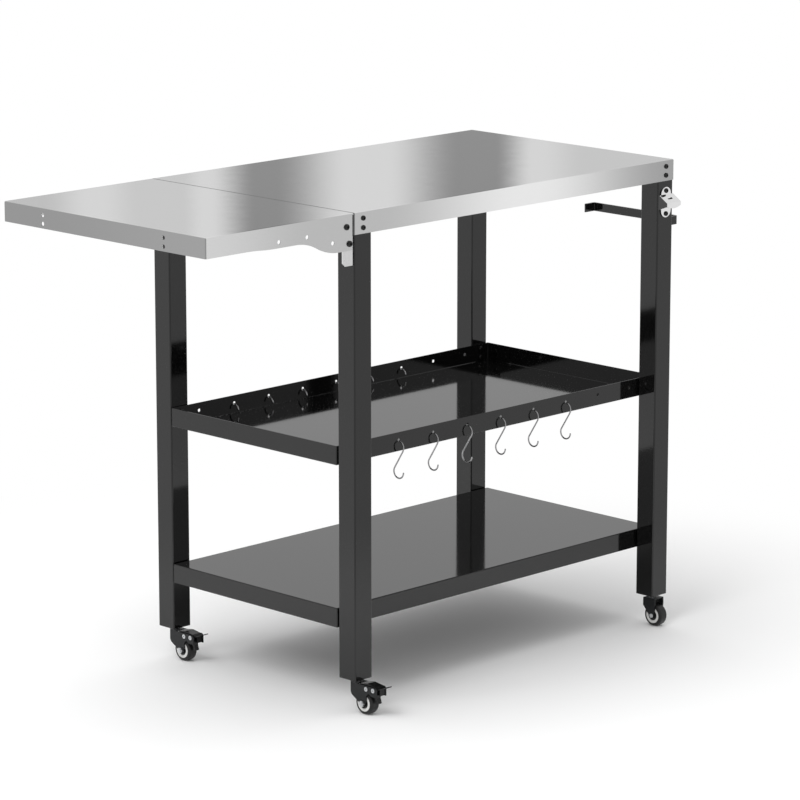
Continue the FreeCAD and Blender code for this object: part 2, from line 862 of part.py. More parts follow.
def make_fasteners():
    bolt = make_bolt(
        "bolt_pattern",
        D.bolt_radius,
        D.bolt_length,
        D.bolt_head_radius,
        D.bolt_head_height,
        D.socket_flats,
        D.socket_depth,
    )
    screw = make_bolt(
        "screw_pattern",
        D.screw_radius,
        D.screw_length,
        D.screw_head_radius,
        D.screw_head_height,
        D.screw_socket_flats,
        D.socket_depth,
    )
    nut = make_nut(
        "nut_pattern", D.nut_flats, D.nut_height, D.bolt_radius + D.thread_slack
    )
    small_nut = make_nut(
        "small_nut_pattern",
        D.screw_nut_flats,
        D.screw_nut_height,
        D.screw_radius + D.thread_slack,
    )
    washer = make_washer()
    plug = make_plug()
    bracket_back = D.top_sheet + D.side_play + D.bracket_sheet

    feet = [(x, y, LEG_BOTTOM, DOWN) for x in LEG_X.values() for y in LEG_Y.values()]
    group_of("leg_plugs", plug, feet)
    group_of("top_bolts", screw, top_stations(0))
    group_of("shelf_bolts", screw, shelf_stations(0))
    group_of("shelf_spacers", washer, shelf_stations(D.shelf_sheet))
    group_of("bracket_bolts", screw, bracket_stations(0))
    group_of(
        "leg_nuts",
        small_nut,
        [
            *top_stations(D.top_sheet + D.leg_wall),
            *shelf_stations(D.shelf_sheet + D.shelf_gap + D.leg_wall),
            *bracket_stations(D.bracket_sheet + D.leg_wall),
        ],
    )
    group_of("hinge_bolts", bolt, hinge_stations(HINGE_X, HINGE_Z, -D.side_play))
    group_of("hinge_nuts", nut, hinge_stations(HINGE_X, HINGE_Z, bracket_back))
    group_of("lock_bolts", bolt, hinge_stations(LOCK_X, LOCK_Z, 0))
    group_of("lock_nuts", nut, hinge_stations(LOCK_X, LOCK_Z, bracket_back + D.side_play))
    group_of("accessory_screws", screw, [*opener_stations(0), *bar_stations(0)])
    group_of(
        "accessory_nuts",
        small_nut,
        [
            *opener_stations(D.opener_sheet + D.leg_wall),
            *bar_stations(D.bar_thick + D.leg_wall),
        ],
    )


# The folding hinge


def make_hinge_bracket(end):
    """An angle bolted to a left leg, with the hinge hole and the notch for the lock bolt."""
    body = new_body("hinge_bracket_" + end)
    inward = 1 if end == "front" else -1
    face = LEG_SET_IN
    near = inward * (D.top_sheet + D.side_play)
    far = near + inward * D.bracket_sheet
    tail = near + inward * D.flange_depth
    left = -D.bracket_reach
    height = D.bracket_bottom - D.bracket_top
    outline = new_sketch(body, "XY_Plane")
    add_polygon(
        outline,
        [
            (left, near),
            (face, near),
            (face, tail),
            (face - D.bracket_sheet, tail),
            (face - D.bracket_sheet, far),
            (left, far),
        ],
    )
    pad(body, outline, height)

    def is_corner(x, y):
        def chooser(edge):
            box = edge.BoundBox
            return is_upright(edge) and abs(box.XMin - x.number) + abs(box.YMin - y.number) < TOUCHING

        return chooser

    dress_edges(body, "Fillet", D.bracket_bend, is_corner(face, near))
    dress_edges(
        body,
        "Fillet",
        D.bracket_bend - D.bracket_sheet,
        is_corner(face - D.bracket_sheet, far),
    )

    hinge_z = D.bracket_bottom - D.hinge_drop
    lock_z = D.bracket_bottom - D.lock_drop
    below_apron = D.bracket_bottom - D.main_apron - SPARE
    trim = new_sketch(body, "XZ_Plane", inward * D.flange_depth)
    clear_of_apron = -D.ear_gap
    add_polygon(
        trim,
        [
            (clear_of_apron, below_apron),
            (face + SPARE, below_apron),
            (face + SPARE, height + SPARE),
            (clear_of_apron, height + SPARE),
        ],
    )
    notch_half = D.bolt_radius + D.side_play
    lock_rise = D.hinge_drop - D.lock_drop
    lock_out = D.lock_x - D.hinge_x
    reach_out = D.bracket_reach - D.hinge_x
    # the lock bolt leaves on an arc about the hinge, and this is the arc's inner side
    inner_arc = root(lock_rise * lock_rise + lock_out * lock_out) - notch_half
    notch_floor = hinge_z + root(inner_arc * inner_arc - reach_out * reach_out)
    add_polygon(
        trim,
        [
            (left - SPARE, notch_floor),
            (LOCK_X + notch_half, notch_floor),
            (LOCK_X + notch_half, lock_z + notch_half),
            (left - SPARE, lock_z + notch_half),
        ],
    )
    add_polygon(
        trim,
        [
            (left - SPARE, -SPARE),
            (left + D.bracket_chamfer, -SPARE),
            (left + D.bracket_chamfer, measure(0)),
            (left, D.bracket_chamfer),
            (left - SPARE, D.bracket_chamfer),
        ],
    )
    add_circle(trim, HINGE_X, hinge_z, D.bolt_radius + D.thread_slack)
    pocket(body, trim, reverse=inward < 0)
    flange_holes = new_sketch(body, "YZ_Plane", D.bracket_reach)
    for z in BRACKET_BOLT_HEIGHTS:
        add_circle(flange_holes, inward * BRACKET_BOLT_Y, z - BRACKET_BOTTOM_Z, SCREW_HOLE)
    pocket(body, flange_holes)
    place(body, 0, 0 if end == "front" else D.top_depth, BRACKET_BOTTOM_Z)
    return body


# Bottle opener and hanging bar on the front right leg


# upright thickness of the opener's slanting hood, as a multiple of its sheet
HOOD_SLANT = 1.2

def make_bottle_opener():
    """A stamped opener: a plate with two ears, and a hood with cheeks and a turned down lip."""
    body = new_body("bottle_opener")
    sheet = D.opener_sheet
    half_width = D.opener_width / 2
    half_lip = D.opener_lip / 2
    lobe = D.opener_height / 2 - half_width
    top = D.opener_root
    foot = -D.opener_cheek_drop
    reach = D.opener_reach
    lip_top = D.opener_lip_top
    lip_foot = lip_top - D.opener_lip_height
    middle = new_sketch(body, "XZ_Plane")
    add_polygon(middle, [(-half_lip, foot), (half_lip, foot), (half_lip, top), (-half_lip, top)])
    pad(body, middle, sheet)
    for z in (-lobe, lobe):
        ear = new_sketch(body, "XZ_Plane")
        add_circle(ear, 0, z, half_width)
        pad(body, ear, sheet)

    hood = new_sketch(body, "YZ_Plane")
    add_polygon(hood, [(-sheet, top), (-reach, lip_top), (-reach, lip_foot), (-sheet, foot)])
    pad(body, hood, D.opener_lip, midplane=True)
    doc.recompute()
    inside = -reach + sheet
    hollow = new_sketch(body, "YZ_Plane")
    add_polygon(
        hollow,
        [
            (-sheet, top - sheet * HOOD_SLANT),
            (inside, lip_top - sheet * (HOOD_SLANT - 1)),
            (inside, foot - sheet),
            (-sheet, foot - sheet),
        ],
    )
    pocket(body, hollow, D.opener_lip - 2 * sheet, midplane=True)

    radius = (half_lip * half_lip + D.opener_lip_bulge * D.opener_lip_bulge) / (
        2 * D.opener_lip_bulge
    )
    flap = new_sketch(body, "XZ_Plane", reach - sheet)
    add_side(flap, (-half_lip, lip_foot), (half_lip, lip_foot))
    centre = Vector(0, lip_foot.number - D.opener_lip_bulge.number + radius.number, 0)
    angle = math.atan2(lip_foot.number - centre.y, half_lip.number)
    circle = Part.Circle(centre, Vector(0, 0, 1), radius.number)
    arc = flap.addGeometry(Part.ArcOfCircle(circle, math.pi - angle, 2 * math.pi + angle))
    fix_point(flap, arc, 1, -half_lip, lip_foot)
    fix_point(flap, arc, 2, half_lip, lip_foot)
    index = flap.addConstraint(Sketcher.Constraint("Radius", arc, radius.number))
    flap.setExpression("Constraints[" + str(index) + "]", radius.text)
    pad(body, flap, sheet)
    doc.recompute()

    slot = new_sketch(body, "XY_Plane", top + sheet)
    slot_near = -D.opener_slot_out + D.opener_slot_width / 2
    slot_far = -D.opener_slot_out - D.opener_slot_width / 2
    half_slot = D.opener_slot_length / 2
    add_polygon(
        slot,
        [
            (-half_slot, slot_far),
            (half_slot, slot_far),
            (half_slot, slot_near),
            (-half_slot, slot_near),
        ],
    )
    pocket(body, slot)
    window = new_sketch(body, "XZ_Plane", -sheet)
    half_window = D.opener_window_width / 2
    window_top = top - 2 * sheet
    add_polygon(
        window,
        [
            (-half_window, foot + sheet),
            (half_window, foot + sheet),
            (half_window, window_top),
            (-half_window, window_top),
        ],
    )
    pocket(body, window, sheet * 2, reverse=True)
    screw_holes = new_sketch(body, "XZ_Plane", sheet * 2)
    for z in (-D.opener_pitch / 2, D.opener_pitch / 2):
        add_circle(screw_holes, 0, z, SCREW_HOLE)
    pocket(body, screw_holes)
    place(body, LEG_X["right"], LEG_SET_IN, OPENER_Z)
    return body


def make_hanging_bar():
    """A flat bar bent into a hook beside the right end, screwed to the front right leg."""
    body = new_body("hanging_bar")
    face = D.main_length - LEG_SET_IN
    thick = D.bar_thick
    outer = face + D.bar_reach
    near = D.bar_near
    flange_end = BAR_SCREW_Y[-1] + D.bar_screw_margin
    tip = face + D.bar_tip_gap
    outline = new_sketch(body, "XY_Plane")
    add_polygon(
        outline,
        [
            (face, flange_end),
            (face, near),
            (outer, near),
            (outer, D.bar_far),
            (tip, D.bar_far),
            (tip, D.bar_far - thick),
            (outer - thick, D.bar_far - thick),
            (outer - thick, near + thick),
            (face + thick, near + thick),
            (face + thick, flange_end),
        ],
    )
    pad(body, outline, D.bar_height)

    def is_bend(outside):
        bends = [(face, near), (outer, near), (outer, D.bar_far)]
        if not outside:
            bends = [
                (face + thick, near + thick),
                (outer - thick, near + thick),
                (outer - thick, D.bar_far - thick),
            ]
        places = [(x.number, y.number) for x, y in bends]

        def chooser(edge):
            box = edge.BoundBox
            near_one = [abs(box.XMin - x) + abs(box.YMin - y) < TOUCHING for x, y in places]
            return is_upright(edge) and any(near_one)

        return chooser

    dress_edges(body, "Fillet", D.bar_bend, is_bend(outside=True))
    dress_edges(body, "Fillet", D.bar_bend - thick, is_bend(outside=False))
    holes = new_sketch(body, "YZ_Plane", face - thick)
    for y in BAR_SCREW_Y:
        add_circle(holes, y, D.bar_height / 2, SCREW_HOLE)
    pocket(body, holes, thick * CUT_THROUGH, reverse=True)
    place(body, 0, 0, BAR_Z - D.bar_height / 2)
    return body


# Hooks that hang in the tray's holes


HOOK_Z = HOOK_HOLE_Z - D.hook_hole + D.hook_wire + D.hook_play


def make_hook_pattern():
    """An S-shaped wire whose upper curl tops out at the origin, with its lower curl open to -Y."""
    body = new_body("hook_pattern", is_part=False)
    curl = D.hook_curl
    low = -curl - D.hook_curl_distance
    slope = math.asin(2 * curl.number / D.hook_curl_distance.number)
    path = new_sketch(body, "YZ_Plane")
    upper_circle = Part.Circle(Vector(0, -curl.number, 0), Vector(0, 0, 1), curl.number)
    lower_circle = Part.Circle(Vector(0, low.number, 0), Vector(0, 0, 1), curl.number)
    upper = path.addGeometry(Part.ArcOfCircle(upper_circle, 0, math.pi + slope))
    lower = path.addGeometry(Part.ArcOfCircle(lower_circle, math.pi, 2 * math.pi + slope))
    ends = [
        Vector(
            -curl.number * math.cos(slope), -curl.number - curl.number * math.sin(slope), 0
        ),
        Vector(curl.number * math.cos(slope), low.number + curl.number * math.sin(slope), 0),
    ]
    shank = path.addGeometry(Part.LineSegment(*ends))
    for arc, height in ((upper, -curl), (lower, low)):
        fix_point(path, arc, 3, 0, height)
        index = path.addConstraint(Sketcher.Constraint("Radius", arc, curl.number))
        path.setExpression("Constraints[" + str(index) + "]", curl.text)
        index = path.addConstraint(Sketcher.Constraint("DistanceY", -1, 1, arc, 1, height.number))
        path.setExpression("Constraints[" + str(index) + "]", height.text)
    path.addConstraint(Sketcher.Constraint("Tangent", upper, 2, shank, 1))
    path.addConstraint(Sketcher.Constraint("Tangent", lower, 2, shank, 2))
    wire = new_sketch(body, "XY_Plane", -curl)
    add_circle(wire, 0, curl, D.hook_wire)
    doc.recompute()
    pipe = body.newObject("PartDesign::AdditivePipe", "Wire")
    pipe.Profile = wire
    pipe.Spine = (path, [])
    doc.recompute()

    def is_wire_end(edge):
        box = edge.BoundBox
        level = box.ZLength < TOUCHING
        at_upper = abs(box.ZMin + curl.number) < TOUCHING and box.YMin > 0
        at_lower = abs(box.ZMin - low.number) < TOUCHING and box.YMax < 0
        return level and (at_upper or at_lower)

    dress_edges(body, "Fillet", D.hook_wire * WIRE_END_ROUNDING, is_wire_end)
    return body


def copy_of(name, pattern, x, y, z, turn=0):
    """A part that repeats a pattern piece, turned about the upright axis."""
    link = doc.addObject("App::Link", name)
    link.Label = name
    link.LinkedObject = pattern
    place(link, x, y, z, rotation=Rotation(Vector(0, 0, 1), turn), path="LinkPlacement")
    parts.append(link)
    return link


def make_hooks():
    pattern = make_hook_pattern()
    wall_middle = SHELF_FRONT + D.shelf_sheet / 2
    rows = {"front": (wall_middle, 0), "back": (D.top_depth - wall_middle, 180)}
    for row, (y, turn) in rows.items():
        for number, index in enumerate(HOOKED_HOLES, start=1):
            name = "hook_" + row + "_" + str(number)
            copy_of(name, pattern, hook_hole_x(index), y, HOOK_Z, turn)


# Casters: each is worked out with its stem over the origin and its wheel towards -Y


YOKE_TOP = LEG_BOTTOM - D.yoke_top
YOKE_UNDER = YOKE_TOP - D.yoke_sheet
YOKE_INSIDE = D.wheel_width + 2 * D.hub_play
YOKE_OUTSIDE = YOKE_INSIDE + 2 * D.yoke_sheet


def make_stem_pattern():
    """The fixed stem: thread in the plug, hexagon, collar, swivel pin and its riveted head."""
    body = new_body("stem_pattern", is_part=False)
    collar_bottom = YOKE_TOP + D.side_play
    collar_top = collar_bottom + D.stem_collar_height
    head_top = YOKE_UNDER - D.side_play
    head_bottom = head_top - D.stem_head_height
    outline = new_sketch(body, "XZ_Plane")
    zero = measure(0)
    add_polygon(
        outline,
        [
            (zero, head_bottom),
            (D.stem_head, head_bottom),
            (D.stem_head, head_top),
            (D.stem_pin, head_top),
            (D.stem_pin, collar_bottom),
            (D.stem_collar, collar_bottom),
            (D.stem_collar, collar_top),
            (D.stem_thread, collar_top),
            (D.stem_thread, LEG_BOTTOM + D.plug_depth - D.yoke_sheet),
            (zero, LEG_BOTTOM + D.plug_depth - D.yoke_sheet),
        ],
    )
    revolve(body, outline, "V_Axis")
    doc.recompute()
    hexagon_sketch = new_sketch(body, "XY_Plane", collar_top)
    add_polygon(hexagon_sketch, hexagon(D.stem_hex_flats))
    pad(body, hexagon_sketch, LEG_BOTTOM - collar_top)
    return body


def make_yoke_pattern(name, trail, boss_radius, side_view, round_corner, bridge_end):
    """A yoke from its side view, with a top sheet that ends at the bridge and no other web."""
    body = new_body(name, is_part=False)
    sides = new_sketch(body, "YZ_Plane")
    add_polygon(sides, [(-measure(forward), z) for forward, z in side_view])
    pad(body, sides, YOKE_OUTSIDE, midplane=True)
    boss = new_sketch(body, "YZ_Plane")
    add_circle(boss, -trail, D.wheel_radius, boss_radius)
    pad(body, boss, YOKE_OUTSIDE, midplane=True)
    forward, height, radius = round_corner

    def is_round_corner(edge):
        box = edge.BoundBox
        runs_across = box.XLength > 1 and box.YLength < TOUCHING and box.ZLength < TOUCHING
        away = abs(box.YMin + forward.number) + abs(box.ZMin - height.number)
        return runs_across and away < TOUCHING

    dress_edges(body, "Fillet", radius, is_round_corner)
    nose = max((measure(place[0]) for place in side_view), key=lambda size: size.number)
    channel = new_sketch(body, "YZ_Plane")
    behind = D.yoke_rear + D.yoke_boss
    below = -D.yoke_sheet
    beyond = -(nose + D.yoke_sheet)
    above = YOKE_TOP + D.yoke_sheet
    add_polygon(
        channel,
        [
            (behind, below),
            (behind, YOKE_UNDER),
            (-bridge_end, YOKE_UNDER),
            (-bridge_end, above),
            (beyond, above),
            (beyond, below),
        ],
    )
    pocket(body, channel, YOKE_INSIDE, midplane=True)
    race = new_sketch(body, "XY_Plane", YOKE_UNDER)
    add_circle(race, 0, 0, D.yoke_rear)
    pad(body, race, D.yoke_sheet)
    doc.recompute()
    axle_hole = new_sketch(body, "YZ_Plane")
    add_circle(axle_hole, -trail, D.wheel_radius, D.axle_radius + D.thread_slack)
    pocket(body, axle_hole, YOKE_OUTSIDE * 2, midplane=True)
    pin_hole = new_sketch(body, "XY_Plane", YOKE_TOP + D.yoke_sheet)
    add_circle(pin_hole, 0, 0, D.stem_pin + D.running_slack)
    pocket(body, pin_hole, D.yoke_sheet * CUT_THROUGH)
    return body


def make_plain_yoke_pattern():
    trail = D.plain_trail
    boss = D.plain_yoke_boss
    front = trail + D.plain_yoke_front
    rear = -D.yoke_rear
    return make_yoke_pattern(
        "plain_yoke_pattern",
        trail,
        boss,
        [
            (rear, YOKE_TOP),
            (front, YOKE_TOP),
            (front, D.plain_yoke_front_shoulder),
            (trail + boss, D.wheel_radius),
            (trail - boss, D.wheel_radius),
            (rear, D.plain_yoke_shoulder),
        ],
        round_corner=(rear, YOKE_TOP, D.plain_yoke_corner),
        bridge_end=front - D.yoke_sheet / 2,
    )


BRAKE_PIVOT = (D.brake_trail + D.brake_pivot_reach, D.brake_pivot_height)
BRAKE_STOP = (BRAKE_PIVOT[0] + D.brake_stop_reach, D.brake_stop_height)


def make_brake_yoke_pattern():
    trail = D.brake_trail
    axle = D.wheel_radius
    rear = D.brake_yoke_rear
    nose = BRAKE_STOP[0] + D.brake_yoke_nose
    bevel = D.brake_yoke_nose_bevel
    body = make_yoke_pattern(
        "brake_yoke_pattern",
        trail,
        D.yoke_boss,
        [
            (rear, YOKE_TOP),
            (nose - bevel, YOKE_TOP),
            (nose, YOKE_TOP - bevel),
            (nose, D.brake_yoke_nose_bottom),
            (trail + D.wheel_radius, D.brake_yoke_nose_bottom),
            (trail + D.brake_yoke_notch, axle + D.wheel_radius),
            (trail + D.brake_yoke_notch_side, axle + D.brake_yoke_notch_rise),
            (trail + D.yoke_boss, axle),
            (trail - D.yoke_boss, axle),
            (rear, D.brake_yoke_shoulder),
        ],
        round_corner=(rear, D.brake_yoke_shoulder, D.brake_yoke_corner),
        bridge_end=D.brake_yoke_bridge,
    )
    rivet_holes = new_sketch(body, "YZ_Plane")
    for forward, z in (BRAKE_PIVOT, BRAKE_STOP):
        add_circle(rivet_holes, -forward, z, D.rivet_radius + D.thread_slack)
    pocket(body, rivet_holes, YOKE_OUTSIDE * 2, midplane=True)
    return body


def make_pedal_pattern():
    """The brake pedal: a cover with a raised toe, a narrow lip and a shoe before the wheel."""
    body = new_body("pedal_pattern", is_part=False)
    trail = D.brake_trail
    axle = D.wheel_radius
    clear = D.wheel_radius + D.shoe_gap
    toe = D.pedal_reach
    width = YOKE_INSIDE - 2 * D.pedal_slack
    skin = D.pedal_skin
    crown = YOKE_TOP + D.pedal_crown
    rear = trail - D.pedal_rear
    dip = toe - D.pedal_dip
    dip_top = crown - D.pedal_dip_drop
    underside = crown - D.pedal_depth
    cheek_end = trail + D.pedal_cheek

    def round_wheel(shares, reach):
        """Places just outside the wheel's clearance circle, at these shares of a forward reach."""
        for share in shares:
            forward = reach * share
            rise = root(clear * clear - forward * forward)
            yield trail + forward, axle + rise + D.side_play

    def add_side_view(sketch, places):
        add_polygon(sketch, [(-forward, z) for forward, z in places])

    cover = new_sketch(body, "YZ_Plane")
    add_side_view(
        cover,
        [
            (rear, crown - D.pedal_fall),
            (BRAKE_PIVOT[0], crown),
            (toe - D.pedal_slope_start, crown - D.pedal_fall),
            (dip, dip_top),
            (toe, crown),
            (toe, crown - skin),
            (dip, dip_top - skin),
            (toe - D.pedal_front, underside),
            (toe - D.pedal_block, underside),
            *round_wheel(CHEEK_CORNERS, D.pedal_cheek),
            (rear, axle + clear + D.side_play + skin),
        ],
    )
    pad(body, cover, width, midplane=True)
    shoe = new_sketch(body, "YZ_Plane")
    shoe_face = trail + clear
    shoe_waist = shoe_face + D.shoe_waist
    add_side_view(
        shoe,
        [
            (cheek_end + skin, dip_top),
            (shoe_waist, dip_top),
            (shoe_waist, D.shoe_knee + D.shoe_step),
            (shoe_face + D.shoe_bump, D.shoe_knee),
            (shoe_waist, D.shoe_knee - D.shoe_step),
            (shoe_face + D.shoe_thick, D.shoe_foot + skin),
            (shoe_face + D.shoe_bump, D.shoe_foot),
            (shoe_face + D.side_play, D.shoe_foot),
            *round_wheel(SHOE_CORNERS, clear),
        ],
    )
    pad(body, shoe, D.shoe_width, midplane=True)
    lip = new_sketch(body, "YZ_Plane")
    lip_rear = D.lip_front - D.lip_thick
    lip_root = dip_top - skin / 2
    add_side_view(
        lip,
        [
            (lip_rear, lip_root),
            (D.lip_front, lip_root),
            (D.lip_front, D.lip_bottom),
            (lip_rear + skin, D.lip_bottom + skin),
            (lip_rear, underside),
        ],
    )
    pad(body, lip, D.lip_width, midplane=True)
    doc.recompute()
    under_cover = new_sketch(body, "YZ_Plane")
    ceiling = crown - D.pedal_fall - skin
    add_side_view(
        under_cover,
        [
            (rear - skin, axle + D.wheel_radius),
            (rear - skin, ceiling),
            (rear, ceiling),
            (BRAKE_PIVOT[0], crown - skin),
            (cheek_end, ceiling + skin / 2),
            (cheek_end, axle + D.wheel_radius),
        ],
    )
    pocket(body, under_cover, width - 2 * skin, midplane=True)
    bore = new_sketch(body, "YZ_Plane")
    add_circle(bore, -BRAKE_PIVOT[0], BRAKE_PIVOT[1], D.rivet_radius + D.running_slack)
    pocket(body, bore, YOKE_OUTSIDE, midplane=True)
    return body


def make_rivet_pattern():
    """The brake's rivets: one long one on which the pedal turns, and a short one in each cheek."""
    body = new_body("rivet_pattern", is_part=False)
    body.AllowCompound = True
    shank = new_sketch(body, "YZ_Plane")
    add_circle(shank, -BRAKE_PIVOT[0], BRAKE_PIVOT[1], D.rivet_radius)
    pad(body, shank, YOKE_OUTSIDE, midplane=True)
    for side in (-1, 1):
        cheek = new_sketch(body, "YZ_Plane", side * YOKE_OUTSIDE / 2)
        add_circle(cheek, -BRAKE_STOP[0], BRAKE_STOP[1], D.rivet_radius)
        pad(body, cheek, D.yoke_sheet, reverse=side > 0)
        heads = new_sketch(body, "YZ_Plane", side * YOKE_OUTSIDE / 2)
        for forward, z in (BRAKE_PIVOT, BRAKE_STOP):
            add_circle(heads, -forward, z, D.rivet_head)
        pad(body, heads, D.rivet_head_height, reverse=side < 0)
        doc.recompute()
        bores = new_sketch(body, "YZ_Plane", side * (YOKE_OUTSIDE / 2 + D.rivet_head_height))
        for forward, z in (BRAKE_PIVOT, BRAKE_STOP):
            add_circle(bores, -forward, z, D.rivet_bore)
        pocket(body, bores, D.rivet_bore_depth, reverse=side < 0)
    return body


def make_wheel_core_pattern():
    """The wheel's hard core round the axle, with a raised ring on each side."""
    body = new_body("wheel_core_pattern", is_part=False)
    half = D.wheel_width / 2
    ring = half - D.hub_ring_inset
    dish = ring - D.hub_recess
    hub = D.axle_radius + D.hub_collar
    bore = D.axle_radius + D.running_slack
    right = [
        (half, bore),
        (half, hub),
        (dish, hub),
        (dish, D.hub_ring_inner),
        (ring, D.hub_ring_inner),
        (ring, D.tyre_inner),
    ]
    outline = new_sketch(body, "XY_Plane")
    add_polygon(outline, right + [(-x, radius) for x, radius in reversed(right)])
    revolve(body, outline, "H_Axis")
    doc.recompute()
    return body


def make_tyre_pattern():
    body = new_body("tyre_pattern", is_part=False)
    half = D.wheel_width / 2
    inner = D.tyre_inner + D.thread_slack
    outline = new_sketch(body, "XY_Plane")
    add_polygon(
        outline,
        [(-half, inner), (half, inner), (half, D.wheel_radius), (-half, D.wheel_radius)],
    )
    revolve(body, outline, "H_Axis")
    dress_edges(
        body,
        "Fillet",
        D.tyre_shoulder,
        lambda edge: edge.BoundBox.XLength < TOUCHING
        and edge.BoundBox.YMax > D.wheel_radius.number - TOUCHING,
    )
    return body


def make_axle_bolt_pattern():
    """The braked casters' axle bolt with its hexagon head on the right, and its nut on the left."""
    body = new_body("axle_bolt_pattern", is_part=False)
    body.AllowCompound = True
    half = YOKE_OUTSIDE / 2
    beyond_nut = D.axle_nut_height + D.axle_thread_end
    shank = new_sketch(body, "YZ_Plane", -half - beyond_nut)
    add_circle(shank, 0, 0, D.axle_radius)
    pad(body, shank, YOKE_OUTSIDE + beyond_nut)
    head = new_sketch(body, "YZ_Plane", half)
    add_polygon(head, hexagon(D.axle_nut_flats))
    pad(body, head, D.axle_head_height)
    nut = new_sketch(body, "YZ_Plane", -half)
    add_polygon(nut, hexagon(D.axle_nut_flats))
    add_circle(nut, 0, 0, D.axle_radius + D.thread_slack)
    pad(body, nut, D.axle_nut_height, reverse=True)
    return body


def make_axle_rivet_pattern():
    """The plain casters' axle, riveted over at both ends."""
    body = new_body("axle_rivet_pattern", is_part=False)
    half = YOKE_OUTSIDE / 2
    shank = new_sketch(body, "YZ_Plane")
    add_circle(shank, 0, 0, D.axle_radius)
    pad(body, shank, YOKE_OUTSIDE, midplane=True)
    for side in (-1, 1):
        head = new_sketch(body, "YZ_Plane", side * half)
        add_circle(head, 0, 0, D.axle_rivet_head)
        pad(body, head, D.axle_rivet_head_height, reverse=side < 0)
    doc.recompute()
    ends = half.number + D.axle_rivet_head_height.number
    dress_edges(
        body,
        "Fillet",
        D.axle_rivet_head_height * HEAD_ROUNDING,
        lambda edge: edge.BoundBox.XLength < TOUCHING and abs(abs(edge.BoundBox.XMin) - ends) < TOUCHING,
    )
    return body


CASTERS = {
    "front_left": ("left", "front", True),
    "front_right": ("right", "front", False),
    "back_left": ("left", "back", True),
    "back_right": ("right", "back", False),
}


def make_casters():
    stem = make_stem_pattern()
    yokes = {False: make_plain_yoke_pattern(), True: make_brake_yoke_pattern()}
    axles = {False: make_axle_rivet_pattern(), True: make_axle_bolt_pattern()}
    core = make_wheel_core_pattern()
    tyre = make_tyre_pattern()
    pedal = make_pedal_pattern()
    rivets = make_rivet_pattern()
    for corner, (side, end, braked) in CASTERS.items():
        x = LEG_X[side]
        y = LEG_Y[end]
        trail = D.brake_trail if braked else D.plain_trail
        copy_of("caster_stem_" + corner, stem, x, y, 0)
        copy_of("caster_yoke_" + corner, yokes[braked], x, y, 0)
        wheel_parts = (("wheel_core_", core), ("tyre_", tyre), ("axle_", axles[braked]))
        for name, pattern in wheel_parts:
            copy_of(name + corner, pattern, x, y - trail, D.wheel_radius)
        if braked:
            copy_of("brake_pedal_" + corner, pedal, x, y, 0)
            copy_of("brake_rivets_" + corner, rivets, x, y, 0)


def shape_of(part):
    return Part.getShape(part)


def check_document():
    """Stop if any feature failed or any part is empty or not valid."""
    doc.recompute()
    for thing in doc.Objects:
        if "Invalid" in thing.State or "Error" in thing.State:
            raise RuntimeError(thing.Label + " of " + thing.Name + " failed")
    for part in parts:
        shape = shape_of(part)
        if shape.isNull() or not shape.isValid():
            raise RuntimeError(part.Label + " has no valid shape")
        print(part.Label, len(shape.Solids), "solids", round(shape.Volume / 1000, 2), "cm3")


def write_parts():
    os.makedirs("parts", exist_ok=True)
    for part in parts:
        shape_of(part).exportStep(os.path.join("parts", part.Label + ".step"))


make_main_top()
make_side_shelf()
make_middle_tray()
make_lower_shelf()
for leg_end in LEG_Y:
    for leg_side in LEG_X:
        make_leg(leg_end, leg_side)
for bracket_end in LEG_Y:
    make_hinge_bracket(bracket_end)
make_bottle_opener()
make_hanging_bar()
make_fasteners()
make_hooks()
make_casters()
check_document()
write_parts()
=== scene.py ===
import math

import bpy
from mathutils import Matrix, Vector


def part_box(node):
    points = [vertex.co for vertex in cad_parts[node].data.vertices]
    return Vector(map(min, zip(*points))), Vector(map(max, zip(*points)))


# Looks of a folding work table on casters: a stainless top and side shelf on a glossy black frame.
# Lengths are in metres. A fade has four numbers: where it starts and ends, and its value there.

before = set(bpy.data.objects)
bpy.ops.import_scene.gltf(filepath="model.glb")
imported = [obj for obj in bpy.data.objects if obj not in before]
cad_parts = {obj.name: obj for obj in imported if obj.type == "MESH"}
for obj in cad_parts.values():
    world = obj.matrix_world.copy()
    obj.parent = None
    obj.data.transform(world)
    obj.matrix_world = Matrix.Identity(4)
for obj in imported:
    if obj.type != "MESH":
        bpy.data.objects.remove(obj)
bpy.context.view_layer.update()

LENGTHWISE = (1.0, 0.0, 0.0)
DEPTHWISE = (0.0, 1.0, 0.0)
UPWARD = (0.0, 0.0, 1.0)
DOWNWARD = (0.0, 0.0, -1.0)

# Camera: far away, a little above the worktop, looking along the diagonal of the table
CAMERA_FROM_CORNER = (-4.42750, -4.51412, 1.94970)
CAMERA_YAW = 0.78762
CAMERA_PITCH = 0.21856
CAMERA_LENS = 175.593
SENSOR_WIDTH = 36.0
CLIP_NEAR = 0.1
CLIP_FAR = 100.0

# Top of the stainless sheet: painted sheen bands, a painted reflection in the colour that crosses the
# worktops on the diagonal and fans out a little toward the far side. Each painted dark band starts, is
# dark, is still dark, and ends.
PAINTED_SHEEN_BANDS = ((-0.330, -0.250, -0.218, -0.088), (-0.026, 0.102, 0.162, 0.229))
PAINTED_SHEEN_MIDDLE = 0.06
PAINTED_SHEEN_FAN = 6.5
PAINTED_SHEEN_DARK = 0.15
PAINTED_SHEEN_BRIGHT = 0.97
RIPPLE_SCALE = 30.0
RIPPLE_STRETCH = (1.0, -1.0, 0.0)
RIPPLE_REACH = 0.004
# Fainter painted reflection tones beside the bands, the last one a painted dark band like those above
RIGHT_PAINTED_TONE = (0.24, 0.32, 0.0, 0.24)
LEFT_PAINTED_TONE = (-0.62, -0.54, 0.34, 0.0)
FAINT_PAINTED_BAND = (-0.52, -0.45, -0.38, -0.34)
FAINT_PAINTED_BAND_DARK = 0.20
